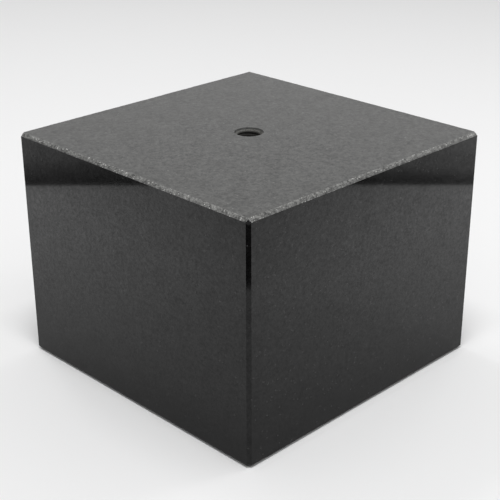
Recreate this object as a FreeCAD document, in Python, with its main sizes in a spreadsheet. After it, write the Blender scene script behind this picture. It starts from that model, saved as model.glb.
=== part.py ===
import FreeCAD, Part
import os

import Sketcher

# Granite block with a threaded bush bonded into the middle of its top face.
# Millimetres, +Z up. The origin is the centre of the flat underside.

doc = FreeCAD.newDocument("GraniteBlock")

# Driving dimensions

SIZES = (
    ("block_width", 100.0, "stone, side to side along X"),
    ("block_depth", 100.0, "stone, front to back along Y"),
    ("block_height", 75.0, "stone, underside to top face"),
    ("top_bevel", 1.0, "leg of the bevel round the top face"),
    ("upright_bevel", 1.0, "leg of the bevel on the four upright edges"),
    ("base_bevel", 1.0, "leg of the bevel round the underside"),
    ("thread_major", 8.0, "outside diameter of the screw that fits"),
    ("thread_pitch", 1.25, "rise of the thread in one turn"),
    ("thread_depth", 0.5, "height of the thread, from the drilled bore out to its root"),
    ("thread_length", 10.0, "full thread, measured down from the rim"),
    ("thread_runout", 6.0, "plain bore below the thread, room for the tap and for long screws"),
    ("bush_wall", 0.35, "metal left outside the root of the thread"),
    ("bush_recess", 0.5, "depth of the rim below the top face"),
    ("mouth_margin", 0.05, "lead-in cone, wider than the screw by this on each side"),
    ("tail_length", 5.0, "closed end of the bush, below the bore's full diameter"),
    ("foot_height", 1.2, "disc at the bottom of the tail"),
    ("waist_height", 1.6, "groove in the tail that the adhesive grips"),
    ("waist_depth", 0.6, "depth of that groove"),
    ("key_flat_depth", 0.4, "depth of each flat on the foot, which stops the bush from turning"),
    ("key_flat_count", 4, "number of those flats"),
    ("bond_gap", 0.15, "adhesive between the bush and the side of its hole"),
    ("bond_floor", 0.5, "adhesive under the bush"),
    ("bond_setback", 0.15, "drop from the rim of the bush to the adhesive"),
)

sheet = doc.addObject("Spreadsheet::Sheet", "Sizes")
for row, (alias, size, note) in enumerate(SIZES, start=1):
    sheet.set(f"A{row}", alias)
    sheet.set(f"B{row}", str(size))
    sheet.set(f"C{row}", note)
    sheet.setAlias(f"B{row}", alias)
doc.recompute()

# Sizes that follow from the driving ones

ROOT_RADIUS = "Sizes.thread_major / 2"
CORE_RADIUS = f"({ROOT_RADIUS} - Sizes.thread_depth)"
BUSH_RADIUS = f"({ROOT_RADIUS} + Sizes.bush_wall)"
HOLE_RADIUS = f"({BUSH_RADIUS} + Sizes.bond_gap)"
WAIST_RADIUS = f"({BUSH_RADIUS} - Sizes.waist_depth)"
MOUTH_RADIUS = f"({ROOT_RADIUS} + Sizes.mouth_margin)"
BORE_DEPTH = "(Sizes.thread_length + Sizes.thread_runout)"
BUSH_LENGTH = f"({BORE_DEPTH} + Sizes.tail_length)"
HOLE_DEPTH = f"(Sizes.bush_recess + {BUSH_LENGTH} + Sizes.bond_floor)"
BUSH_FOOT = f"(Sizes.block_height - Sizes.bush_recess - {BUSH_LENGTH})"
HOLE_FLOOR = f"(Sizes.block_height - {HOLE_DEPTH})"

# A twist drill leaves a point of 118 degrees, and the thread's flanks stand at 60 degrees.
DRILL_POINT_SLOPE = "tan(31 deg)"
FLANK_SLOPE = "tan(30 deg)"


def number(expression):
    """Give the value of an expression on the sheet, as a plain number of millimetres."""
    return float(sheet.evalExpression(expression))


def sketch_on(body, plane, name, lift="0"):
    """Start a sketch on one of the body's own planes, raised along its normal."""
    support = next(part for part in body.Origin.OriginFeatures if part.Role == plane)
    sketch = body.newObject("Sketcher::SketchObject", name)
    sketch.AttachmentSupport = [(support, "")]
    sketch.MapMode = "FlatFace"
    sketch.setExpression("AttachmentOffset.Base.z", lift)
    return sketch


def drive(sketch, name, expression, kind, *where):
    """Add a distance to a sketch and let it follow the sheet."""
    index = sketch.addConstraint(Sketcher.Constraint(kind, *where, number(expression)))
    sketch.renameConstraint(index, name)
    sketch.setExpression(f"Constraints.{name}", expression)


def draw_outline(sketch, corners):
    """Draw a closed outline through corners, each a pair of expressions across and up."""
    spots = [FreeCAD.Vector(number(across), number(up), 0) for across, up in corners]
    for index, spot in enumerate(spots):
        sketch.addGeometry(Part.LineSegment(spot, spots[(index + 1) % len(spots)]), False)
    for index in range(len(spots)):
        following = (index + 1) % len(spots)
        sketch.addConstraint(Sketcher.Constraint("Coincident", index, 2, following, 1))
    before = (None, None)
    for index, (across, up) in enumerate(corners):
        if across == "0":
            sketch.addConstraint(Sketcher.Constraint("PointOnObject", index, 1, -2))
        elif across == before[0]:
            sketch.addConstraint(Sketcher.Constraint("Vertical", index - 1))
        else:
            drive(sketch, f"across_{index}", across, "DistanceX", -1, 1, index, 1)
        if up == "0":
            sketch.addConstraint(Sketcher.Constraint("PointOnObject", index, 1, -1))
        elif up == before[1]:
            sketch.addConstraint(Sketcher.Constraint("Horizontal", index - 1))
        else:
            drive(sketch, f"up_{index}", up, "DistanceY", -1, 1, index, 1)
        before = (across, up)


def draw_circle(sketch, radius):
    """Draw a circle about the sketch's origin."""
    middle = FreeCAD.Vector(0, 0, 0)
    sketch.addGeometry(Part.Circle(middle, FreeCAD.Vector(0, 0, 1), number(radius)), False)
    sketch.addConstraint(Sketcher.Constraint("Coincident", 0, 3, -1, 1))
    drive(sketch, "radius", radius, "Radius", 0)


def pad(body, name, sketch, length):
    """Raise a sketch into a solid."""
    feature = body.newObject("PartDesign::Pad", name)
    feature.Profile = sketch
    feature.setExpression("Length", length)
    doc.recompute()
    return feature


def cut(body, kind, name, sketch, **expressions):
    """Cut material away with a pocket, groove or helix, and make sure that it really cuts."""
    before = body.Shape.Volume
    feature = body.newObject(f"PartDesign::{kind}", name)
    feature.Profile = sketch
    if kind != "Pocket":
        feature.ReferenceAxis = (sketch, ["V_Axis"])
    for key, expression in expressions.items():
        feature.setExpression(key, expression)
    doc.recompute()
    if body.Shape.Volume >= before:
        raise RuntimeError(f"{name} cuts nothing")
    return feature


def bevel(body, name, size, belongs):
    """Chamfer every edge of the body's tip for which belongs(edge) is true."""
    tip = body.Tip
    edges = [f"Edge{i}" for i, edge in enumerate(tip.Shape.Edges, start=1) if belongs(edge)]
    feature = body.newObject("PartDesign::Chamfer", name)
    feature.Base = (tip, edges)
    feature.setExpression("Size", size)
    doc.recompute()
    return feature


def lies_at(edge, height):
    """Tell whether an edge lies level at a height."""
    box = edge.BoundBox
    return abs(box.ZMin - height) < 1e-6 and abs(box.ZMax - height) < 1e-6


def stands_upright(edge):
    """Tell whether an edge runs straight up."""
    box = edge.BoundBox
    return box.XLength < 1e-6 and box.YLength < 1e-6


# granite_block: sawn, polished, bevelled on every edge and drilled from the top

granite = doc.addObject("PartDesign::Body", "granite_block")

plan = sketch_on(granite, "XY_Plane", "block_plan")
half_width = "Sizes.block_width / 2"
half_depth = "Sizes.block_depth / 2"
draw_outline(
    plan,
    (
        (f"-{half_width}", f"-{half_depth}"),
        (half_width, f"-{half_depth}"),
        (half_width, half_depth),
        (f"-{half_width}", half_depth),
    ),
)
pad(granite, "sawn_block", plan, "Sizes.block_height")
bevel(granite, "upright_edges", "Sizes.upright_bevel", stands_upright)
bevel(granite, "top_edges", "Sizes.top_bevel", lambda edge: lies_at(edge, number("Sizes.block_height")))
bevel(granite, "base_edges", "Sizes.base_bevel", lambda edge: lies_at(edge, 0))
hole_plan = sketch_on(granite, "XY_Plane", "hole_plan", lift="Sizes.block_height")
draw_circle(hole_plan, HOLE_RADIUS)
cut(granite, "Pocket", "drilled_hole", hole_plan, Length=HOLE_DEPTH)


def shape_bush_outside(body):
    """Turn the outside of the bush, standing on its foot: a barrel with a waisted, flatted tail."""
    barrel_plan = sketch_on(body, "XY_Plane", "barrel_plan")
    draw_circle(barrel_plan, BUSH_RADIUS)
    pad(body, "barrel", barrel_plan, BUSH_LENGTH)

    waist_top = "(Sizes.foot_height + Sizes.waist_height)"
    beyond = f"({BUSH_RADIUS} + Sizes.bush_wall)"
    waist = sketch_on(body, "XZ_Plane", "waist_section")
    draw_outline(
        waist,
        (
            (WAIST_RADIUS, "Sizes.foot_height"),
            (beyond, "Sizes.foot_height"),
            (beyond, waist_top),
            (WAIST_RADIUS, waist_top),
        ),
    )
    cut(body, "Groove", "waist", waist, Angle="360 deg")

    flat_plan = sketch_on(body, "XY_Plane", "key_flat_plan", lift="Sizes.foot_height")
    near_side = f"({BUSH_RADIUS} - Sizes.key_flat_depth)"
    draw_outline(
        flat_plan,
        (
            (near_side, f"-{BUSH_RADIUS}"),
            (beyond, f"-{BUSH_RADIUS}"),
            (beyond, BUSH_RADIUS),
            (near_side, BUSH_RADIUS),
        ),
    )
    flat = cut(body, "Pocket", "key_flat", flat_plan, Length="Sizes.foot_height")
    flats = body.newObject("PartDesign::PolarPattern", "key_flats")
    flats.Originals = [flat]
    flats.Axis = (flat_plan, ["N_Axis"])
    flats.Angle = 360
    flats.setExpression("Occurrences", "Sizes.key_flat_count")
    body.Tip = flats
    doc.recompute()


# threaded_insert: metal bush with a closed tail, drilled, countersunk and tapped

bush = doc.addObject("PartDesign::Body", "threaded_insert")
bush.setExpression("Placement.Base.z", BUSH_FOOT)
shape_bush_outside(bush)

bore_end = "Sizes.tail_length"
bore = sketch_on(bush, "XZ_Plane", "bore_section")
draw_outline(
    bore,
    (
        ("0", f"{bore_end} - {CORE_RADIUS} * {DRILL_POINT_SLOPE}"),
        (CORE_RADIUS, bore_end),
        (CORE_RADIUS, f"{BUSH_LENGTH} - ({MOUTH_RADIUS} - {CORE_RADIUS})"),
        (MOUTH_RADIUS, BUSH_LENGTH),
        ("0", BUSH_LENGTH),
    ),
)
cut(bush, "Groove", "drilled_bore", bore, Angle="360 deg")

# The tooth space is a truncated triangle. It starts a little inside the bore, so that the cut
# leaves no skin, and it climbs one turn past the rim, so that the thread opens at the mouth.
inner_edge = f"({CORE_RADIUS} - Sizes.thread_pitch / 16)"
root_half = "Sizes.thread_pitch / 16"
inner_half = f"({root_half} + ({ROOT_RADIUS} - {inner_edge}) * {FLANK_SLOPE})"
thread_start = f"({BUSH_LENGTH} - Sizes.thread_length)"
tooth = sketch_on(bush, "XZ_Plane", "tooth_section")
draw_outline(
    tooth,
    (
        (inner_edge, f"{thread_start} - {inner_half}"),
        (ROOT_RADIUS, f"{thread_start} - {root_half}"),
        (ROOT_RADIUS, f"{thread_start} + {root_half}"),
        (inner_edge, f"{thread_start} + {inner_half}"),
    ),
)
cut(
    bush,
    "SubtractiveHelix",
    "thread",
    tooth,
    Pitch="Sizes.thread_pitch",
    Height="Sizes.thread_length + Sizes.thread_pitch",
)

# epoxy_bond: fills the hole round and under the bush, and takes the shape of its outside

bush_outside = doc.addObject("PartDesign::Body", "bush_outside")
bush_outside.setExpression("Placement.Base.z", BUSH_FOOT)
shape_bush_outside(bush_outside)

hole_fill = doc.addObject("Part::Cylinder", "hole_fill")
hole_fill.setExpression("Radius", HOLE_RADIUS)
hole_fill.setExpression("Height", f"Sizes.bond_floor + {BUSH_LENGTH} - Sizes.bond_setback")
hole_fill.setExpression("Placement.Base.z", HOLE_FLOOR)

bond = doc.addObject("Part::Cut", "epoxy_bond")
bond.Base = hole_fill
bond.Tool = bush_outside
doc.recompute()

# Every feature has to be sound before a file is written

for feature in doc.Objects:
    faults = [state for state in feature.State if state in ("Invalid", "Error")]
    if faults:
        raise RuntimeError(f"{feature.Label} is {', '.join(faults)}")

os.makedirs("parts", exist_ok=True)
for piece in (granite, bush, bond):
    shape = piece.Shape
    if shape.isNull() or not shape.isValid() or len(shape.Solids) != 1:
        raise RuntimeError(f"{piece.Label} is not one sound solid")
    print(piece.Label, round(shape.Volume, 3), shape.BoundBox)

for piece in (granite, bush, bond):
    piece.Shape.exportStep(f"parts/{piece.Label}.step")
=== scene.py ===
"""Looks of a granite bench block with a threaded bush bonded into the middle of its top.

Metres, +Z up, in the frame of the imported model. The stone stands on its underside about the
origin. Its sides and upright bevels are polished, and its top is honed to a satin. The bevels
round the top are ground by hand and chipped, and those round the underside are dark and dull.
"""

import logging
import math
import random
from collections.abc import Callable, Iterable
from dataclasses import dataclass, replace
from enum import Enum
from typing import Any

import bmesh
import bpy
from bmesh.types import BMEdge, BMesh, BMFace, BMVert
from mathutils import Matrix, Vector, noise


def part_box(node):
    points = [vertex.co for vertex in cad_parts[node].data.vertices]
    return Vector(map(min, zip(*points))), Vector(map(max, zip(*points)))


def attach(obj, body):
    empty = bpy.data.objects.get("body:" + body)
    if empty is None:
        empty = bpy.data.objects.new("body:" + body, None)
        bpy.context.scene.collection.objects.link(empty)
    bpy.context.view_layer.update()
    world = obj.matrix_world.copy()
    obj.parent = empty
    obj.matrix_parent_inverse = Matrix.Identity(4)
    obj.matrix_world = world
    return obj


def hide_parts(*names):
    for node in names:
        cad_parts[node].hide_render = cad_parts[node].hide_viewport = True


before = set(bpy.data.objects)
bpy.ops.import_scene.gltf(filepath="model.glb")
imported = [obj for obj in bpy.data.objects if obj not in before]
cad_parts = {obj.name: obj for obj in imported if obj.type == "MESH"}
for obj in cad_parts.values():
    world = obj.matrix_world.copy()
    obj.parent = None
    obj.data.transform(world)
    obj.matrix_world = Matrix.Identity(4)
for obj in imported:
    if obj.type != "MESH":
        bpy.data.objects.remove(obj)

LOG = logging.getLogger("granite_block")
Colour = tuple[float, float, float]
Range = tuple[float, float]
Levels = tuple[tuple[float, float], ...]
Socket = bpy.types.NodeSocket

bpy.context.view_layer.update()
MM = 0.001
ROOT = "root"

# Two places closer than this are the same, and a larger slack finds an outer border.
SAME_PLACE = 1e-6
BORDER_SLACK = 10 * SAME_PLACE

# The least part of a face's normal along one axis, if the face is square to that axis.
SQUARE_ON = 0.99


class Graph:
    """A node tree under construction."""

    def __init__(self, tree: bpy.types.NodeTree) -> None:
        """Start wiring an existing tree.

        Args:
            tree: The node tree of a material, a world or a group.
        """
        self.tree = tree

    def add(
        self, kind: str, inputs: dict[str | int, Any] | None = None, **settings: Any
    ) -> bpy.types.Node:
        """Add a node, set it up and feed its inputs.

        Args:
            kind: The node's type name without its ShaderNode prefix, or a full type name.
            inputs: What each input gets, by name or place: a socket to link, or a plain value.
            settings: The node's own settings.

        Returns:
            The new node.
        """
        full = kind if kind.startswith("Node") else f"ShaderNode{kind}"
        node = self.tree.nodes.new(full)
        for key, value in settings.items():
            setattr(node, key, value)
        for key, value in (inputs or {}).items():
            self.feed(node.inputs[key], value)
        return node

    def feed(self, socket: Socket, value: Any) -> None:
        """Link a socket to another one, or set it to a plain value.

        Args:
            socket: The input to feed.
            value: An output socket, a number, a colour or a vector.
        """
        if isinstance(value, Socket):
            self.tree.links.new(value, socket)
        elif socket.type == "RGBA" and len(value) == 3:
            socket.default_value = (*value, 1.0)
        else:
            socket.default_value = value

    def maths(self, operation: str, *values: Any) -> Socket:
        """Work out one number.

        Args:
            operation: The name of the Math node's operation.
            values: The operands, as sockets or numbers.

        Returns:
            The socket that holds the result.
        """
        return self.add("Math", dict(enumerate(values)), operation=operation).outputs[0]

    def blend(self, factor: Any, first: Any, second: Any) -> Socket:
        """Mix two colours.

        Args:
            factor: How much of the second colour shows.
            first: The colour at a factor of nought.
            second: The colour at a factor of one.

        Returns:
            The socket that holds the mixed colour.
        """
        node = self.add("Mix", data_type="RGBA")
        self.feed(node.inputs["Factor"], factor)
        self.feed(next(s for s in node.inputs if s.identifier == "A_Color"), first)
        self.feed(next(s for s in node.inputs if s.identifier == "B_Color"), second)
        return next(s for s in node.outputs if s.identifier == "Result_Color")

    def span(
        self, value: Any, low: float, high: float, to_low: float = 0.0, to_high: float = 1.0
    ) -> Socket:
        """Map a number from one range to another, held inside it.

        Args:
            value: The number to map.
            low: The value that becomes to_low.
            high: The value that becomes to_high.
            to_low: The lower result.
            to_high: The upper result.

        Returns:
            The socket that holds the mapped number.
        """
        inputs = {
            "Value": value,
            "From Min": low,
            "From Max": high,
            "To Min": to_low,
            "To Max": to_high,
        }
        return self.add("MapRange", inputs, clamp=True).outputs["Result"]

    def height(self, place: Socket) -> Socket:
        """Give the height of a place."""
        return self.add("SeparateXYZ", {0: place}).outputs["Z"]


def new_material(label: str) -> tuple[bpy.types.Material, Graph, Socket]:
    """Start a material with an empty graph.

    Args:
        label: The material's name.

    Returns:
        The material, its graph and the socket that says where on the piece a point lies.
    """
    material = bpy.data.materials.new(label)
    material.use_nodes = True
    material.node_tree.nodes.clear()
    graph = Graph(material.node_tree)
    return material, graph, graph.add("TexCoord").outputs["Object"]


class SharedGroup:
    """A shader node group that several materials use, built once."""

    def __init__(self, name: str, inputs: dict[str, str], outputs: dict[str, str]) -> None:
        """Make an empty group with its sockets.

        Args:
            name: The group's name.
            inputs: The type of each input, by name.
            outputs: The type of each output, by name.
        """
        self.tree = bpy.data.node_groups.new(name, "ShaderNodeTree")
        for way, sockets in (("INPUT", inputs), ("OUTPUT", outputs)):
            for label, kind in sockets.items():
                self.tree.interface.new_socket(label, in_out=way, socket_type=f"NodeSocket{kind}")
        self.graph = Graph(self.tree)
        self.given = self.graph.add("NodeGroupInput").outputs
        self.result = self.graph.add("NodeGroupOutput").inputs

    def give(self, label: str, socket: Socket) -> None:
        """Link one of the group's outputs to the socket that works it out."""
        self.graph.feed(self.result[label], socket)

    def place(self, graph: Graph, inputs: dict[str, Any]) -> bpy.types.Node:
        """Place the group in a material.

        Args:
            graph: The material's graph.
            inputs: What each of the group's inputs gets.

        Returns:
            The group node.
        """
        node = graph.add("Group", node_tree=self.tree)
        for label, value in inputs.items():
            graph.feed(node.inputs[label], value)
        return node


@dataclass(frozen=True)
class GrainPattern:
    """The interlocked crystals of a fine black granite.

    The drift and the clouds have rates per metre. The rates of the mottle and of the pale crystals
    are shares of the crystals' own rate. The other shares say how much each layer adds to the tone.
    """

    drift_rate: float = 700.0
    drift_reach: float = 0.6 * MM
    cloud_rate: float = 160.0
    mottle_rate: float = 0.3
    pale_rate: float = 0.6
    pale_border: Range = (0.18, 0.42)
    noise_range: Range = (0.3, 0.7)
    crystal_share: float = 0.3
    fine_share: float = 0.22
    mottle_share: float = 0.33
    cloud_share: float = 0.15
    crystal_relief: float = 0.5

    def build(self) -> SharedGroup:
        """Build the group.

        Returns:
            A group that gives a tone for each crystal, a mask of the sparse pale ones and a relief.
        """
        group = SharedGroup(
            "stone_grain",
            {"Place": "Vector", "Crystals per Metre": "Float", "Fleck Share": "Float"},
            {"Tone": "Float", "Fleck": "Float", "Relief": "Float"},
        )
        graph, given = group.graph, group.given
        place, rate = given["Place"], given["Crystals per Metre"]
        moved = self._drift(graph, place)
        crystals = graph.add("TexVoronoi", {"Vector": moved, "Scale": rate})
        crystal_tone = graph.add("SeparateColor", {0: crystals.outputs["Color"]}).outputs["Red"]
        fine_tone = self._noise_tone(graph, place, rate, detail=3.0, roughness=0.65)
        mottle_rate = graph.maths("MULTIPLY", rate, self.mottle_rate)
        mottle_tone = self._noise_tone(graph, moved, mottle_rate, detail=2.0, roughness=0.6)
        cloud_tone = self._noise_tone(graph, place, self.cloud_rate, detail=3.0, roughness=0.55)
        fine_part = graph.maths("MULTIPLY", fine_tone, self.fine_share)
        tone = graph.maths("MULTIPLY_ADD", crystal_tone, self.crystal_share, fine_part)
        tone = graph.maths("MULTIPLY_ADD", mottle_tone, self.mottle_share, tone)
        tone = graph.maths("MULTIPLY_ADD", cloud_tone, self.cloud_share, tone)
        group.give("Tone", tone)
        group.give("Fleck", self._flecks(graph, moved, rate, given["Fleck Share"]))
        distance = crystals.outputs["Distance"]
        group.give("Relief", graph.maths("MULTIPLY_ADD", distance, self.crystal_relief, fine_part))
        return group

    def _drift(self, graph: Graph, place: Socket) -> Socket:
        """Push places about a little, so that the crystals interlock.

        Args:
            graph: The group's graph.
            place: Where on the stone a point lies.

        Returns:
            The place after the push.
        """
        drift = graph.add("TexNoise", {"Vector": place, "Scale": self.drift_rate, "Detail": 2.0})
        centred = {0: drift.outputs["Color"], 1: (0.5, 0.5, 0.5)}
        push = graph.add("VectorMath", centred, operation="SUBTRACT").outputs[0]
        small = graph.add("VectorMath", {0: push, "Scale": self.drift_reach}, operation="SCALE")
        return graph.add("VectorMath", {0: place, 1: small.outputs[0]}).outputs[0]

    def _noise_tone(
        self, graph: Graph, place: Socket, rate: Any, detail: float, roughness: float
    ) -> Socket:
        """Give a noise, spread over the range from nought to one.

        Args:
            graph: The group's graph.
            place: Where on the stone a point lies.
            rate: How often the noise changes in a metre.
            detail: The number of finer layers.
            roughness: How strong those layers are.

        Returns:
            The tone.
        """
        inputs = {"Vector": place, "Scale": rate, "Detail": detail, "Roughness": roughness}
        return graph.span(graph.add("TexNoise", inputs).outputs["Fac"], *self.noise_range)

    def _flecks(self, graph: Graph, place: Socket, rate: Socket, share: Socket) -> Socket:
        """Choose the sparse pale crystals.

        Args:
            graph: The group's graph.
            place: Where on the stone a point lies.
            rate: The number of crystals in a metre.
            share: The share of the crystals that are pale.

        Returns:
            A mask that is one inside a pale crystal and fades at its border.
        """
        pale_rate = graph.maths("MULTIPLY", rate, self.pale_rate)
        pale = graph.add("TexVoronoi", {"Vector": place, "Scale": pale_rate})
        chance = graph.add("SeparateColor", {0: pale.outputs["Color"]}).outputs["Green"]
        chosen = graph.maths("GREATER_THAN", chance, graph.maths("SUBTRACT", 1.0, share))
        inside = graph.span(pale.outputs["Distance"], *self.pale_border, 1.0, 0.0)
        return graph.maths("MULTIPLY", chosen, inside)


@dataclass(frozen=True)
class CloudPattern:
    """The slow, cloudy change of tone and gloss that handling and polishing leave."""

    detail: float = 4.0
    roughness: float = 0.55
    distortion: float = 0.6
    noise_range: Range = (0.32, 0.68)

    def build(self) -> SharedGroup:
        """Build the group.

        Returns:
            A group that gives a soft mask between nought and one.
        """
        sockets = {"Place": "Vector", "Clouds per Metre": "Float"}
        group = SharedGroup("handling_clouds", sockets, {"Mask": "Float"})
        inputs = {
            "Vector": group.given["Place"],
            "Scale": group.given["Clouds per Metre"],
            "Detail": self.detail,
            "Roughness": self.roughness,
            "Distortion": self.distortion,
        }
        clouds = group.graph.add("TexNoise", inputs).outputs["Fac"]
        group.give("Mask", group.graph.span(clouds, *self.noise_range))
        return group


@dataclass(frozen=True)
class SharedGroups:
    """The node groups that the finishes share."""

    grain: SharedGroup
    clouds: SharedGroup

    def cloud_mask(self, graph: Graph, place: Socket, rate: float) -> Socket:
        """Place the clouds in a material.

        Args:
            graph: The material's graph.
            place: Where on the piece a point lies.
            rate: The number of clouds in a metre.

        Returns:
            The socket of the soft mask.
        """
        return self.clouds.place(graph, {"Place": place, "Clouds per Metre": rate}).outputs["Mask"]


@dataclass(frozen=True)
class StoneFinish:
    """One way in which the granite's surface is worked.

    Each colour is that of the darkest, the lightest and the rare pale crystals. The tone span
    is the range of tones that runs from dark to light. A finish with no polish has no clear gloss. Where
    the polish fades towards the foot, it paints shade into the floor that the sides mirror there. A finish
    with no rim highlight gets no painted highlight along its upper border, where a worn, rounded edge
    catches light.
    """

    label: str
    dark: Colour
    light: Colour
    fleck: Colour
    fleck_share: float
    crystals_per_metre: float
    smooth: float
    rough: float
    relief: float
    refraction: float
    polish: float = 0.0
    polish_in_foot_shade: float = 0.0
    polish_scatter: float = 0.0
    foot_shade_heights: Range = (5.0 * MM, 55.0 * MM)
    facing_blend: float = 0.5
    facing_range: Range = (0.33, 0.52)
    facing_gain: Range = (0.55, 1.4)
    rim_highlight: float = 0.0
    rim_highlight_depths: Range = (0.7 * MM, 0.1 * MM)
    rim_highlight_gain: Range = (0.3, 1.7)
    middle_tones: Range = (0.2, 0.8)
    tone_span: Range = (0.0, 1.0)
    clouds_per_metre: float = 35.0
    cloud_cover: float = 0.12
    cloud_gloss: float = 0.35

    def make(self, groups: SharedGroups, top: float) -> bpy.types.Material:
        """Make the material.

        Args:
            groups: The shared node groups.
            top: The height of the stone's top.

        Returns:
            The finished material.
        """
        material, graph, place = new_material(self.label)
        grain_inputs = {
            "Place": place,
            "Crystals per Metre": self.crystals_per_metre,
            "Fleck Share": self.fleck_share,
        }
        grain = groups.grain.place(graph, grain_inputs).outputs
        tone = grain["Tone"]
        cloud = groups.cloud_mask(graph, place, self.clouds_per_metre)
        body = graph.blend(graph.span(tone, *self.tone_span), self.dark, self.light)
        body = graph.blend(graph.maths("MULTIPLY", cloud, self.cloud_cover), body, self.light)
        # Painted highlight: the upper border is lightened towards the pale fleck colour, where the worn,
        # rounded edge catches light.
        if self.rim_highlight:
            body = graph.blend(self._rim_highlight_share(graph, place, tone, top), body, self.fleck)
        crystal_gloss = graph.maths("MULTIPLY", tone, 1.0 - self.cloud_gloss)
        gloss = graph.maths("MULTIPLY_ADD", cloud, self.cloud_gloss, crystal_gloss)
        bump = graph.add("Bump", {"Height": grain["Relief"], "Distance": self.relief, "Strength": 1.0})
        shader = graph.add(
            "BsdfPrincipled",
            {
                "Base Color": graph.blend(grain["Fleck"], body, self.fleck),
                "Roughness": graph.span(gloss, 0.0, 1.0, self.smooth, self.rough),
                "Normal": bump.outputs[0],
                "IOR": self.refraction,
            },
        )
        if self.polish:
            graph.feed(shader.inputs["Coat Weight"], self._polish_weight(graph, place, tone))
            shader.inputs["Coat Roughness"].default_value = self.smooth
        graph.add("OutputMaterial", {"Surface": shader.outputs[0]})
        return material

    def _rim_highlight_share(self, graph: Graph, place: Socket, tone: Socket, top: float) -> Socket:
        """Work out the painted highlight along the upper border, where the worn, rounded edge catches
        light.

        Args:
            graph: The material's graph.
            place: Where on the stone a point lies.
            tone: The tone of the crystal at that point.
            top: The height of the stone's top.

        Returns:
            The share of the pale colour, full at the top and gone a little below it.
        """
        none_at, full_at = (top - depth for depth in self.rim_highlight_depths)
        highlit = graph.span(graph.height(place), none_at, full_at, 0.0, self.rim_highlight)
        return graph.maths("MULTIPLY", highlit, graph.span(tone, *self.middle_tones, *self.rim_highlight_gain))

    def _polish_weight(self, graph: Graph, place: Socket, tone: Socket) -> Socket:
        """Work out the weight of the polish, faded towards the foot as painted shade.

        Args:
            graph: The material's graph.
            place: Where on the stone a point lies.
            tone: The tone of the crystal at that point.

        Returns:
            The weight of the polish: less towards the foot, as painted shade of the shaded floor that
            the sides mirror there, different from crystal to crystal, and more where the fine scratches are
            seen aslant.
        """
        height = graph.height(place)
        # Painted shade: the polish falls from its full weight to its weight at the foot, which darkens the
        # mirrored floor near the foot.
        full = graph.span(height, *self.foot_shade_heights, self.polish_in_foot_shade, self.polish)
        least, most = 1.0 - self.polish_scatter, 1.0 + self.polish_scatter
        scatter = graph.span(tone, *self.middle_tones, least, most)
        facing = graph.add("LayerWeight", {"Blend": self.facing_blend}).outputs["Facing"]
        aslant = graph.span(facing, *self.facing_range, *self.facing_gain)
        return graph.maths("MULTIPLY", graph.maths("MULTIPLY", full, scatter), aslant)


class StoneFace(Enum):
    """The surfaces of the stone, in the order of its material slots."""

    POLISHED = StoneFinish(
        label="polished_side",
        dark=(0.0002, 0.0002, 0.0002),
        light=(0.009, 0.009, 0.0091),
        fleck=(0.042, 0.0426, 0.042),
        fleck_share=0.025,
        crystals_per_metre=2600.0,
        smooth=0.05,
        rough=0.12,
        relief=0.002 * MM,
        refraction=1.23,
        polish=0.5,
        # Painted shade: the polish falls to this weight at the foot.
        polish_in_foot_shade=0.08,
        polish_scatter=0.5,
    )
    POLISHED_EDGE = replace(
        POLISHED, label="polished_edge", fleck_share=0.03, polish=0.44, polish_in_foot_shade=0.44
    )
    SATIN = StoneFinish(
        label="satin_top",
        dark=(0.0135, 0.0135, 0.013),
        light=(0.1045, 0.1045, 0.1005),
        fleck=(0.145, 0.145, 0.139),
        fleck_share=0.03,
        crystals_per_metre=2000.0,
        smooth=0.28,
        rough=0.36,
        relief=0.006 * MM,
        refraction=1.4,
        tone_span=(0.2, 0.8),
    )
    GROUND = StoneFinish(
        label="ground_bevel",
        dark=(0.017, 0.017, 0.0165),
        light=(0.235, 0.235, 0.2275),
        fleck=(0.62, 0.62, 0.6),
        fleck_share=0.17,
        crystals_per_metre=3200.0,
        smooth=0.45,
        rough=0.7,
        relief=0.03 * MM,
        refraction=1.45,
        # A faint painted highlight along the upper border.
        rim_highlight=0.04,
        tone_span=(0.25, 0.75),
    )
    FOOT = StoneFinish(
        label="foot_bevel",
        dark=(0.001, 0.001, 0.001),
        light=(0.008, 0.008, 0.008),
        fleck=(0.03, 0.03, 0.029),
        fleck_share=0.02,
        crystals_per_metre=1900.0,
        smooth=0.3,
        rough=0.5,
        relief=0.01 * MM,
        refraction=1.3,
    )
    DRILLED = StoneFinish(
        label="drilled_wall",
        dark=(0.03, 0.03, 0.03),
        light=(0.12, 0.12, 0.115),
        fleck=(0.25, 0.25, 0.24),
        fleck_share=0.06,
        crystals_per_metre=2000.0,
        smooth=0.6,
        rough=0.85,
        relief=0.02 * MM,
        refraction=1.45,
    )

    @property
    def slot(self) -> int:
        """The number of the surface's material slot."""
        return list(StoneFace).index(self)


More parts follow.
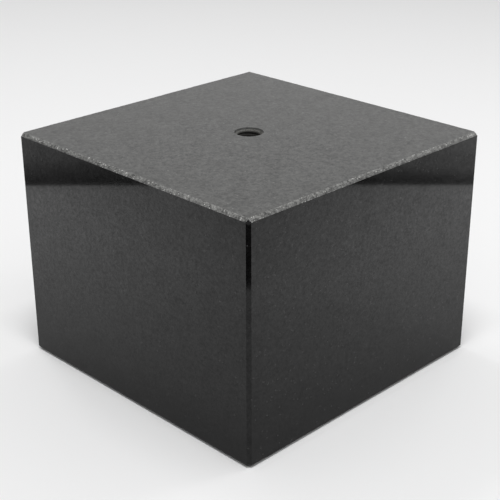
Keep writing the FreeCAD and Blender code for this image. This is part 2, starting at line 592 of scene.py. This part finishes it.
@dataclass(frozen=True)
class SteelFinish:
    """Dull turned steel with fine rings, and painted shade low in the mouth of the bore.

    The painted shade starts at a share of its depth, covers a share of the metal and dulls it.
    """

    label: str = "dull_turned_steel"
    bright: Colour = (0.21, 0.21, 0.2)
    tarnish: Colour = (0.09, 0.088, 0.082)
    bore_shade: Colour = (0.045, 0.043, 0.04)
    bore_shade_start: float = 0.4
    bore_shade_cover: float = 0.92
    metal_in_bore_shade: float = 0.5
    smooth: float = 0.75
    rough: float = 0.9
    clouds_per_metre: float = 600.0
    spots_per_metre: float = 2400.0
    spot_range: Range = (0.35, 0.7)
    rings_per_metre: float = 9000.0
    ring_height: float = 0.004 * MM

    def make(self, groups: SharedGroups, rim: float, bore_shade_depth: float) -> bpy.types.Material:
        """Make the material.

        Args:
            groups: The shared node groups.
            rim: The height of the bush's rim.
            bore_shade_depth: How far below the rim the painted shade is full.

        Returns:
            The finished material.
        """
        material, graph, place = new_material(self.label)
        cloud = groups.cloud_mask(graph, place, self.clouds_per_metre)
        spot_inputs = {"Vector": place, "Scale": self.spots_per_metre, "Detail": 3.0}
        spots = graph.span(graph.add("TexNoise", spot_inputs).outputs["Fac"], *self.spot_range)
        worn = graph.maths("MULTIPLY", cloud, spots)
        metal = graph.blend(worn, self.bright, self.tarnish)
        # Painted shade in the bore: below the rim the metal turns darker, duller and less metallic,
        # standing in for the shade inside the hole.
        unshaded_above, shaded_below = rim - self.bore_shade_start * bore_shade_depth, rim - bore_shade_depth
        deep = graph.span(graph.height(place), unshaded_above, shaded_below)
        turns = graph.maths("MULTIPLY", self._radius(graph, place), self.rings_per_metre)
        rings = graph.add("TexNoise", {"W": turns, "Scale": 1.0}, noise_dimensions="1D")
        bump = graph.add("Bump", {"Height": rings.outputs["Fac"], "Distance": self.ring_height})
        shader = graph.add(
            "BsdfPrincipled",
            {
                "Base Color": graph.blend(graph.maths("MULTIPLY", deep, self.bore_shade_cover), metal, self.bore_shade),
                "Metallic": graph.span(deep, 0.0, 1.0, 1.0, self.metal_in_bore_shade),
                "Roughness": graph.span(graph.maths("ADD", worn, deep), 0.0, 1.0, self.smooth, self.rough),
                "Normal": bump.outputs[0],
            },
        )
        graph.add("OutputMaterial", {"Surface": shader.outputs[0]})
        return material

    def _radius(self, graph: Graph, place: Socket) -> Socket:
        """Give the distance from the bush's axis."""
        flat = graph.add("VectorMath", {0: place, 1: (1.0, 1.0, 0.0)}, operation="MULTIPLY").outputs[0]
        return graph.add("VectorMath", {0: flat}, operation="LENGTH").outputs["Value"]


@dataclass(frozen=True)
class AdhesiveFinish:
    """Dark cured adhesive, with dust on it."""

    label: str = "dark_cured_adhesive"
    resin: Colour = (0.008, 0.008, 0.008)
    dust: Colour = (0.05, 0.05, 0.048)
    smooth: float = 0.25
    rough: float = 0.6
    clouds_per_metre: float = 900.0

    def make(self, groups: SharedGroups) -> bpy.types.Material:
        """Make the material.

        Args:
            groups: The shared node groups.

        Returns:
            The finished material.
        """
        material, graph, place = new_material(self.label)
        dusty = groups.cloud_mask(graph, place, self.clouds_per_metre)
        shader = graph.add(
            "BsdfPrincipled",
            {
                "Base Color": graph.blend(dusty, self.resin, self.dust),
                "Roughness": graph.span(dusty, 0.0, 1.0, self.smooth, self.rough),
            },
        )
        graph.add("OutputMaterial", {"Surface": shader.outputs[0]})
        return material


def finish_piece(mesh: BMesh, name: str, materials: Iterable[bpy.types.Material]) -> bpy.types.Object:
    """Turn a bmesh into an object of the scene.

    Args:
        mesh: The finished bmesh, which is freed.
        name: The object's name.
        materials: Its materials, in the order of their slots.

    Returns:
        The new object, at the origin.
    """
    data = bpy.data.meshes.new(name)
    mesh.to_mesh(data)
    mesh.free()
    for material in materials:
        data.materials.append(material)
    piece = bpy.data.objects.new(name, data)
    bpy.context.scene.collection.objects.link(piece)
    return piece


def dress(piece: bpy.types.Object, node: str) -> None:
    """Let a piece stand for a CAD node.

    Args:
        piece: The finished piece.
        node: The node that it replaces.
    """
    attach(piece, ROOT)
    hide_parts(node)
    LOG.info("%s: %d faces", piece.name, len(piece.data.polygons))


def merged_copy(node: str) -> BMesh:
    """Copy a CAD node's loose triangles into one closed bmesh.

    Args:
        node: The name of the CAD node.

    Returns:
        The merged copy.
    """
    mesh = bmesh.new()
    mesh.from_mesh(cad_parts[node].data)
    bmesh.ops.remove_doubles(mesh, verts=mesh.verts, dist=SAME_PLACE)
    return mesh


def bevel_edges(mesh: BMesh, edges: list[BMEdge], offset: float, segments: int) -> None:
    """Bevel some of a mesh's edges.

    Args:
        mesh: The mesh.
        edges: The edges to bevel.
        offset: How far the bevel reaches on each side.
        segments: The number of strips in the bevel.
    """
    bmesh.ops.bevel(
        mesh,
        geom=edges,
        offset=offset,
        offset_type="OFFSET",
        affect="EDGES",
        segments=segments,
        profile=0.5,
        material=-1,
    )


def shade_smooth(mesh: BMesh, crease: float) -> None:
    """Shade a mesh smooth, apart from its sharp edges.

    Args:
        mesh: The mesh.
        crease: The angle between two faces from which the edge between them is sharp.
    """
    for face in mesh.faces:
        face.smooth = True
    for edge in mesh.edges:
        edge.smooth = len(edge.link_faces) == 2 and edge.calc_face_angle() < crease


@dataclass(frozen=True)
class Chip:
    """A small shallow break in the stone's upper edge, with its depth falling by a power."""

    spot: Vector
    width: float
    depth: float
    power: float = 1.5

    def bite(self, place: Vector) -> float:
        """Give how deep the chip is at a place."""
        away = (place - self.spot).length / self.width
        return self.depth * (1.0 - away * away) ** self.power if away < 1.0 else 0.0


@dataclass
class StoneBlock:
    """The solid stone: a bevelled block with a blind hole drilled into its top.

    The rates say how often a wave comes in a metre. The chips' insets, the waves' reach, the ease
    of the corners and the places along an edge are shares.
    """

    node: str = "granite_block"
    bevel: float = 1.0 * MM
    hole_radius: float = 4.5 * MM
    hole_depth: float = 22.0 * MM
    wall_split: float = 0.3
    rim_steps: int = 160
    rim_wear: float = 0.04 * MM
    rim_wear_mean: float = 0.6
    rim_wear_swing: float = 0.8
    rim_wear_rate: float = 1400.0
    step_along: float = 0.25 * MM
    rows_across: int = 5
    bulge: float = 0.1 * MM
    slow_wave: float = 0.05 * MM
    slow_rate: float = 110.0
    fast_wave: float = 0.06 * MM
    fast_rate: float = 900.0
    fast_start: tuple[float, float, float] = (3.1, 7.7, 1.9)
    wave_reach: float = 1.02
    wave_power: int = 3
    border_gain: float = 2.4
    chip_count: int = 70
    chip_width: Range = (0.35 * MM, 1.1 * MM)
    chip_depth: Range = (0.05 * MM, 0.22 * MM)
    chip_inset: Range = (0.3, 1.05)
    chip_along: float = 0.97
    corner_point: float = 0.6
    corner_wear: float = 1.8 * MM
    corner_rounds: int = 10
    corner_ease: float = 0.5
    seed: int = 11

    def __post_init__(self) -> None:
        """Read the stone's outer size from the frame."""
        low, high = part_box(self.node)
        self.size = high - low
        self.top = high.z
        self.half = Vector((high.x, high.y))

    def build(self, groups: SharedGroups) -> bpy.types.Object:
        """Model the stone and dress it.

        Args:
            groups: The shared node groups.

        Returns:
            The finished piece.
        """
        mesh = self._bevelled_box()
        self._cut_into_strips(mesh)
        self._wear_edges(mesh)
        self._mark_edges(mesh)
        self._close_faces(mesh)
        materials = [face.value.make(groups, self.top) for face in StoneFace]
        piece = finish_piece(mesh, "stone_block", materials)
        dress(piece, self.node)
        return piece

    def _bevelled_box(self) -> BMesh:
        """Start from a box, and bevel its upright edges, then its two rims."""
        mesh = bmesh.new()
        bmesh.ops.create_cube(mesh, size=1.0)
        bmesh.ops.scale(mesh, vec=self.size, verts=mesh.verts)
        bmesh.ops.translate(mesh, vec=(0.0, 0.0, self.top / 2), verts=mesh.verts)
        upright = [edge for edge in mesh.edges if self._stands(edge)]
        bevel_edges(mesh, upright, self.bevel, segments=1)
        heights = (0.0, self.top)
        rims = [edge for edge in mesh.edges if any(self._level_at(edge, height) for height in heights)]
        bevel_edges(mesh, rims, self.bevel, segments=1)
        return mesh

    @staticmethod
    def _stands(edge: BMEdge) -> bool:
        """Tell whether an edge runs straight up."""
        run = edge.verts[1].co - edge.verts[0].co
        return abs(run.x) < SAME_PLACE and abs(run.y) < SAME_PLACE

    @staticmethod
    def _level_at(edge: BMEdge, height: float) -> bool:
        """Tell whether an edge lies level at a height."""
        return all(abs(vert.co.z - height) < SAME_PLACE for vert in edge.verts)

    @staticmethod
    def _level(edge: BMEdge) -> bool:
        """Tell whether an edge lies level at any height."""
        return abs(edge.verts[1].co.z - edge.verts[0].co.z) < SAME_PLACE

    def _cut_into_strips(self, mesh: BMesh) -> None:
        """Take the six large faces out and cut the bevels that are left across and along.

        Rows of unlike length get unlike numbers of cuts, and the strip between two such rows stays
        one long face with many corners.
        """
        large = [face for face in mesh.faces if max(abs(part) for part in face.normal) > SQUARE_ON]
        bmesh.ops.delete(mesh, geom=large, context="FACES_ONLY")
        across = self.rows_across - 1
        longest_at_corner = 3 * self.bevel
        self._cut(
            mesh,
            lambda edge: not self._level(edge) and not self._stands(edge),
            lambda length: across,
        )
        self._cut(
            mesh,
            lambda edge: self._level(edge) and edge.calc_length() < longest_at_corner,
            lambda length: across,
        )
        self._cut(
            mesh,
            lambda edge: edge.calc_length() > longest_at_corner,
            lambda length: round(length / self.step_along) - 1,
        )

    def _cut(
        self, mesh: BMesh, chosen: Callable[[BMEdge], bool], cuts: Callable[[float], int]
    ) -> None:
        """Cut edges evenly, and the faces between edges that get as many cuts.

        Args:
            mesh: The bmesh.
            chosen: Tells whether an edge is cut.
            cuts: Gives the number of cuts for an edge's length.
        """
        by_count: dict[int, list[BMEdge]] = {}
        for edge in mesh.edges:
            if chosen(edge):
                by_count.setdefault(cuts(edge.calc_length()), []).append(edge)
        for count, edges in by_count.items():
            bmesh.ops.subdivide_edges(mesh, edges=edges, cuts=count, use_grid_fill=True)

    def _planes(self, spot: Vector) -> tuple[bool, bool, bool]:
        """Tell on which of the large faces' planes a place lies, along X, Y and Z."""
        on_x = abs(abs(spot.x) - self.half.x) < SAME_PLACE
        on_y = abs(abs(spot.y) - self.half.y) < SAME_PLACE
        on_z = abs(spot.z) < SAME_PLACE or abs(spot.z - self.top) < SAME_PLACE
        return on_x, on_y, on_z

    def _wear_edges(self, mesh: BMesh) -> None:
        """Round the corners a little, make the ground bevels uneven and chip the upper edge."""
        mesh.normal_update()
        held = {vert: self._planes(vert.co) for vert in mesh.verts}
        start = {vert: vert.co.copy() for vert in mesh.verts}
        corners = [vert for vert in mesh.verts if self._corner_distance(vert.co) < self.corner_wear]
        for _ in range(self.corner_rounds):
            bmesh.ops.smooth_vert(
                mesh,
                verts=corners,
                factor=self.corner_ease,
                use_axis_x=True,
                use_axis_y=True,
                use_axis_z=True,
            )
            for vert in corners:
                self._put_back(vert, start[vert], held[vert])
        chips = self._plan_chips()
        mesh.normal_update()
        moves = {vert: self._unevenness(vert, chips) for vert in mesh.verts}
        for vert, move in moves.items():
            vert.co += Vector([0.0 if fixed else part for part, fixed in zip(move, held[vert])])

    def _corner_distance(self, spot: Vector) -> float:
        """Give the distance to the nearest of the box's eight corners."""
        height = min(abs(spot.z), abs(self.top - spot.z))
        return Vector((self.half.x - abs(spot.x), self.half.y - abs(spot.y), height)).length

    @staticmethod
    def _put_back(vert: BMVert, start: Vector, held: tuple[bool, bool, bool]) -> None:
        """Put a vertex back on the planes where it started."""
        for axis in range(3):
            if held[axis]:
                vert.co[axis] = start[axis]

    def _plan_chips(self) -> list[Chip]:
        """Choose where the upper edge is chipped."""
        dice = random.Random(self.seed)
        chips = []
        for _ in range(self.chip_count):
            along = dice.uniform(-self.chip_along, self.chip_along)
            side = dice.choice((-1.0, 1.0))
            inset = self.bevel * dice.uniform(*self.chip_inset)
            if dice.random() < 0.5:
                spot = Vector((side * (self.half.x - inset), along * self.half.y, self.top))
            else:
                spot = Vector((along * self.half.x, side * (self.half.y - inset), self.top))
            spot.z -= max(0.0, self.bevel - inset)
            chips.append(Chip(spot, dice.uniform(*self.chip_width), dice.uniform(*self.chip_depth)))
        return chips

    def _unevenness(self, vert: BMVert, chips: list[Chip]) -> Vector:
        """Work out how far grinding and wear move a vertex of a bevel.

        Args:
            vert: The vertex.
            chips: The chips in the upper edge.

        Returns:
            The move, before it is held to the planes that the vertex lies on.
        """
        spot = vert.co
        to_rim = min(spot.z, self.top - spot.z)
        if to_rim > self.wave_reach * self.bevel:
            return Vector((0.0, 0.0, 0.0))
        slow = noise.noise(spot * self.slow_rate) * self.slow_wave
        fast = noise.noise(spot * self.fast_rate + Vector(self.fast_start)) * self.fast_wave
        depth = (slow + fast) * max(0.0, 1.0 - (to_rim / self.bevel) ** self.wave_power)
        if to_rim < SAME_PLACE:
            depth *= self.border_gain
        across = min(1.0, to_rim / self.bevel)
        depth += 4.0 * self.bulge * across * (1.0 - across)
        for chip in chips:
            depth -= chip.bite(spot)
        return vert.normal * depth

    def _mark_edges(self, mesh: BMesh) -> None:
        """Give each bevel its finish, smooth inside and sharp at its borders."""
        for face in mesh.faces:
            middle = face.calc_center_median()
            kind = StoneFace.POLISHED_EDGE
            if middle.z < self.bevel:
                kind = StoneFace.FOOT
            elif self.top - middle.z < self.bevel and not self._in_corner_point(middle):
                kind = StoneFace.GROUND
            face.material_index = kind.slot
            face.smooth = True
        for edge in mesh.edges:
            kinds = {face.material_index for face in edge.link_faces}
            edge.smooth = len(edge.link_faces) == 2 and len(kinds) == 1

    def _in_corner_point(self, spot: Vector) -> bool:
        """Tell whether a place lies in the small point in which an upright bevel ends at the top."""
        rise = spot.z - (self.top - self.bevel)
        sideways = abs((self.half.x - abs(spot.x)) - (self.half.y - abs(spot.y))) / math.sqrt(2.0)
        reach = self.bevel / math.sqrt(2.0) * (1.0 - rise / (self.corner_point * self.bevel))
        return rise > 0.0 and sideways < reach

    def _close_faces(self, mesh: BMesh) -> None:
        """Fill the sides, the underside and the top, which keeps the drilled hole open."""
        rim = self._drill(mesh)
        openings = [edge for edge in mesh.edges if len(edge.link_faces) == 1 and edge not in rim]
        for axis in range(3):
            for side in (0, 1):
                border = [edge for edge in openings if self._lies_on(edge, axis, side)]
                kind = self._large_face(axis, side)
                if kind is StoneFace.SATIN:
                    border += rim
                filled = bmesh.ops.triangle_fill(
                    mesh, use_beauty=True, use_dissolve=False, edges=border
                )
                for face in (item for item in filled["geom"] if isinstance(item, BMFace)):
                    face.material_index = kind.slot
                    face.smooth = False
        bmesh.ops.recalc_face_normals(mesh, faces=mesh.faces)

    def _lies_on(self, edge: BMEdge, axis: int, side: int) -> bool:
        """Tell whether an edge lies on one of the box's six planes."""
        low = (-self.half.x, -self.half.y, 0.0)
        high = (self.half.x, self.half.y, self.top)
        plane = (low, high)[side][axis]
        return all(abs(vert.co[axis] - plane) < SAME_PLACE for vert in edge.verts)

    @staticmethod
    def _large_face(axis: int, side: int) -> StoneFace:
        """Name the finish of one of the large faces."""
        if axis < 2:
            return StoneFace.POLISHED
        return StoneFace.SATIN if side else StoneFace.GROUND

    def _drill(self, mesh: BMesh) -> list[BMEdge]:
        """Make the wall and floor of the blind hole, with a worn rim.

        Args:
            mesh: The bmesh that gets the hole.

        Returns:
            The edges of the hole's rim, in the plane of the top face.
        """
        made = bmesh.ops.create_circle(
            mesh,
            cap_ends=False,
            segments=self.rim_steps,
            radius=self.hole_radius,
            matrix=Matrix.Translation((0.0, 0.0, self.top)),
        )
        rim = list({edge for vert in made["verts"] for edge in vert.link_edges})
        ring = rim
        before = 0.0
        for depth in (self.rim_wear, self.wall_split * self.hole_depth, self.hole_depth):
            grown = bmesh.ops.extrude_edge_only(mesh, edges=ring)["geom"]
            verts = [item for item in grown if isinstance(item, BMVert)]
            bmesh.ops.translate(mesh, vec=(0.0, 0.0, before - depth), verts=verts)
            ring = [item for item in grown if isinstance(item, BMEdge) and self._level(item)]
            before = depth
            for face in (item for item in grown if isinstance(item, BMFace)):
                face.material_index = StoneFace.DRILLED.slot
                face.smooth = True
        for face in bmesh.ops.edgeloop_fill(mesh, edges=ring)["faces"]:
            face.material_index = StoneFace.DRILLED.slot
        for edge in rim:
            edge.smooth = False
            for vert in edge.verts:
                self._wear_rim(vert)
        return rim

    def _wear_rim(self, vert: BMVert) -> None:
        """Move a vertex of the hole's rim outwards, by as much as the rim is worn there."""
        flat = Vector((vert.co.x, vert.co.y, 0.0))
        wave = self.rim_wear_swing * noise.noise(flat * self.rim_wear_rate)
        grown_by = max(0.0, self.rim_wear * (self.rim_wear_mean + wave))
        flat = flat.normalized() * (self.hole_radius + grown_by)
        vert.co.x, vert.co.y = flat.x, flat.y


@dataclass
class ThreadedBush:
    """The metal bush in the hole: drilled, countersunk and tapped, as the frame holds it."""

    node: str = "threaded_insert"
    crease: float = math.radians(30.0)
    rim_break: float = 0.06 * MM
    # How deep the painted shade in the bore grows full.
    bore_shade_depth: float = 0.45 * MM

    def build(self, groups: SharedGroups) -> bpy.types.Object:
        """Merge a copy of the node, break its outer rim and dress it.

        Args:
            groups: The shared node groups.

        Returns:
            The finished piece.
        """
        mesh = merged_copy(self.node)
        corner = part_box(self.node)[1]
        edges = [edge for edge in mesh.edges if self._on_outer_rim(edge, corner)]
        bevel_edges(mesh, edges, self.rim_break, segments=2)
        shade_smooth(mesh, self.crease)
        steel = SteelFinish().make(groups, corner.z, self.bore_shade_depth)
        piece = finish_piece(mesh, "threaded_bush", [steel])
        dress(piece, self.node)
        return piece

    @staticmethod
    def _on_outer_rim(edge: BMEdge, corner: Vector) -> bool:
        """Tell whether an edge lies on the outer rim, from the highest corner of the bush's box."""
        least_radius = corner.x - BORDER_SLACK
        return all(
            abs(vert.co.z - corner.z) < SAME_PLACE and vert.co.xy.length > least_radius
            for vert in edge.verts
        )


@dataclass
class AdhesiveSleeve:
    """The adhesive round the bush, sunk a little between the metal and the stone."""

    node: str = "epoxy_bond"
    meniscus_width: float = 0.04 * MM
    meniscus_depth: float = 0.06 * MM
    crease: float = math.radians(35.0)

    def build(self, groups: SharedGroups) -> bpy.types.Object:
        """Merge a copy of the node, sink its upper face and dress it.

        Args:
            groups: The shared node groups.

        Returns:
            The finished piece.
        """
        mesh = merged_copy(self.node)
        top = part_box(self.node)[1].z
        mesh.normal_update()
        upper = [
            face for face in mesh.faces if all(abs(vert.co.z - top) < SAME_PLACE for vert in face.verts)
        ]
        bmesh.ops.inset_region(
            mesh,
            faces=upper,
            thickness=self.meniscus_width,
            depth=-self.meniscus_depth,
            use_even_offset=True,
        )
        shade_smooth(mesh, self.crease)
        piece = finish_piece(mesh, "adhesive_sleeve", [AdhesiveFinish().make(groups)])
        dress(piece, self.node)
        return piece


@dataclass(frozen=True)
class Lamp:
    """A square soft lamp. Its places are seen from the camera: to the right, away and up."""

    label: str
    spot: tuple[float, float, float]
    aim: tuple[float, float, float]
    size: float
    power: float

    def hang(self, turn: Matrix) -> None:
        """Hang the lamp and turn it to its aim.

        Args:
            turn: The turn from the camera's heading to the object's frame.
        """
        data = bpy.data.lights.new(self.label, "AREA")
        data.shape = "SQUARE"
        data.size = self.size
        data.energy = self.power
        lamp = bpy.data.objects.new(self.label, data)
        spot, aim = turn @ Vector(self.spot), turn @ Vector(self.aim)
        facing = (aim - spot).to_track_quat("-Z", "Y").to_matrix().to_4x4()
        lamp.matrix_world = Matrix.Translation(spot) @ facing
        lamp.visible_camera = False
        bpy.context.scene.collection.objects.link(lamp)


@dataclass
class Studio:
    """The camera, the pale table, the soft lamps and the room round the object.

    The levels of the room are heights in degrees, each with the brightness there. The sides of
    the stone mirror the table, the dark step at its far edge and the pale wall beyond it.
    """

    eye: tuple[float, float, float] = (-0.2403, -0.2418, 0.187)
    heading: float = math.radians(-44.854)
    pitch: float = math.radians(-23.988)
    roll: float = math.radians(-0.151)
    lens: float = 83.74
    sensor: float = 36.0
    table_half_width: float = 0.222
    table_front: float = -0.185
    table_back: float = 0.9
    table_cells: tuple[int, int] = (8, 16)
    floor_radius: float = 4.0
    floor_steps: int = 96
    floor_drop: float = 0.1 * MM
    table_colour: Colour = (0.88, 0.88, 0.882)
    table_unevenness: float = 1.01
    table_patches_per_metre: float = 3.0
    table_roughness: float = 0.9
    left_room: Levels = (
        (-90.0, 0.01),
        (-20.2, 0.01),
        (-20.05, 0.27),
        (-19.45, 0.28),
        (-19.3, 0.44),
        (-19.1, 0.53),
        (-18.3, 0.58),
    )
    right_room: Levels = (
        (-90.0, 0.01),
        (-20.2, 0.01),
        (-19.9, 0.53),
        (-19.75, 0.56),
        (-19.45, 0.34),
        (-19.3, 0.32),
        (-18.9, 0.54),
        (-18.3, 0.58),
    )
    upper_room: Levels = (
        (-4.0, 0.62),
        (0.0, 0.72),
        (25.0, 0.72),
        (45.0, 0.42),
        (90.0, 0.26),
    )
    room_blend: Range = (-0.3, 0.3)
    room_strength: Range = (0.8, 1.2)
    lamps: tuple[Lamp, ...] = (
        Lamp("key_lamp", spot=(0.0, -0.2, 0.8), aim=(0.0, -0.2, 0.0), size=0.24, power=3.35),
        Lamp("left_lamp", spot=(-0.3, 0.36, 0.73), aim=(-0.3, 0.36, 0.0), size=0.18, power=1.08),
        Lamp("right_lamp", spot=(0.43, 0.13, 0.44), aim=(0.43, 0.13, 0.0), size=0.12, power=0.36),
        Lamp("back_lamp", spot=(0.3, 0.5, 0.7), aim=(0.3, 0.5, 0.0), size=0.18, power=0.36),
    )

    def __post_init__(self) -> None:
        """Work out the turn from the camera's heading to the object's frame."""
        self.turn = Matrix.Rotation(self.heading, 4, "Z")

    def build(self) -> None:
        """Set up the camera, the table, the lamps and the surroundings."""
        self._place_camera()
        self._lay_table()
        for lamp in self.lamps:
            lamp.hang(self.turn)
        self._surround()
        bpy.context.scene.view_settings.view_transform = "Standard"

    def _place_camera(self) -> None:
        """Stand the camera where the photograph was taken."""
        data = bpy.data.cameras.new("camera")
        data.lens = self.lens
        data.sensor_width = self.sensor
        camera = bpy.data.objects.new("camera", data)
        turned = self.turn @ Matrix.Rotation(math.pi / 2 + self.pitch, 4, "X")
        camera.matrix_world = Matrix.Translation(self.eye) @ turned @ Matrix.Rotation(self.roll, 4, "Z")
        bpy.context.scene.collection.objects.link(camera)
        bpy.context.scene.camera = camera

    def _table_material(self) -> bpy.types.Material:
        """Make the table's matt, faintly uneven white."""
        material, graph, place = new_material("pale_table")
        inputs = {"Vector": place, "Scale": self.table_patches_per_metre, "Detail": 2.0}
        patches = graph.add("TexNoise", inputs).outputs["Fac"]
        paler = tuple(min(1.0, part * self.table_unevenness) for part in self.table_colour)
        colour = graph.blend(patches, self.table_colour, paler)
        shader = graph.add(
            "BsdfPrincipled",
            {"Base Color": colour, "Roughness": self.table_roughness, "Specular IOR Level": 0.0},
        )
        graph.add("OutputMaterial", {"Surface": shader.outputs[0]})
        return material

    def _lay_table(self) -> None:
        """Lay the white table, and round it a floor that reflections, light and shade pass by."""
        material = self._table_material()
        depth = self.table_back - self.table_front
        middle = Matrix.Translation((0.0, (self.table_back + self.table_front) / 2, 0.0))
        shape = Matrix.Diagonal((self.table_half_width, depth / 2, 1.0, 1.0))
        columns, rows = self.table_cells
        mesh = bmesh.new()
        bmesh.ops.create_grid(
            mesh, x_segments=columns, y_segments=rows, size=1.0, matrix=self.turn @ middle @ shape
        )
        finish_piece(mesh, "table", [material])
        mesh = bmesh.new()
        bmesh.ops.create_circle(
            mesh,
            cap_ends=True,
            segments=self.floor_steps,
            radius=self.floor_radius,
            matrix=Matrix.Translation((0.0, 0.0, -self.floor_drop)),
        )
        floor = finish_piece(mesh, "far_floor", [material])
        floor.visible_glossy = False
        floor.visible_diffuse = False
        floor.visible_shadow = False

    def _room_levels(self, graph: Graph, rise: Socket, lower: Levels) -> Socket:
        """Give the brightness of one side of the room from its floor to its ceiling.

        Args:
            graph: The world's graph.
            rise: The sine of the height at which a ray leaves.
            lower: Heights in degrees with their brightness, from the floor up to the wall.

        Returns:
            The colour of the room in the ray's direction.
        """
        ramp = graph.add("ValToRGB", {0: graph.span(rise, -1.0, 1.0)})
        stops = lower + self.upper_room
        band = ramp.color_ramp
        while len(band.elements) < len(stops):
            band.elements.new(0.5)
        for element, (degrees, level) in zip(band.elements, stops):
            element.position = 0.5 + 0.5 * math.sin(math.radians(degrees))
            element.color = (level, level, level, 1.0)
        return ramp.outputs[0]

    def _surround(self) -> None:
        """Give the room round the table: dark below its edge, pale from the wall upwards."""
        world = bpy.data.worlds.new("studio")
        world.use_nodes = True
        world.node_tree.nodes.clear()
        graph = Graph(world.node_tree)
        way = graph.add("TexCoord").outputs["Generated"]
        rise = graph.height(way)
        right = self.turn.to_3x3() @ Vector((1.0, 0.0, 0.0))
        sideways = graph.add("VectorMath", {0: way, 1: tuple(right)}, operation="DOT_PRODUCT")
        across = sideways.outputs["Value"]
        left_room = self._room_levels(graph, rise, self.left_room)
        right_room = self._room_levels(graph, rise, self.right_room)
        room = graph.blend(graph.span(across, *self.room_blend), left_room, right_room)
        strength = graph.span(across, -1.0, 1.0, *self.room_strength)
        light = graph.add("Background", {"Color": room, "Strength": strength})
        graph.add("OutputWorld", {"Surface": light.outputs[0]})
        bpy.context.scene.world = world


def main() -> None:
    """Build the object and its studio, and report each piece."""
    logging.basicConfig(level=logging.INFO, format="%(message)s")
    groups = SharedGroups(grain=GrainPattern().build(), clouds=CloudPattern().build())
    for part in (StoneBlock(), ThreadedBush(), AdhesiveSleeve()):
        piece = part.build(groups)
        LOG.info("%s stands for %s", piece.name, part.node)
    Studio().build()


if __name__ == "__main__":
    main()
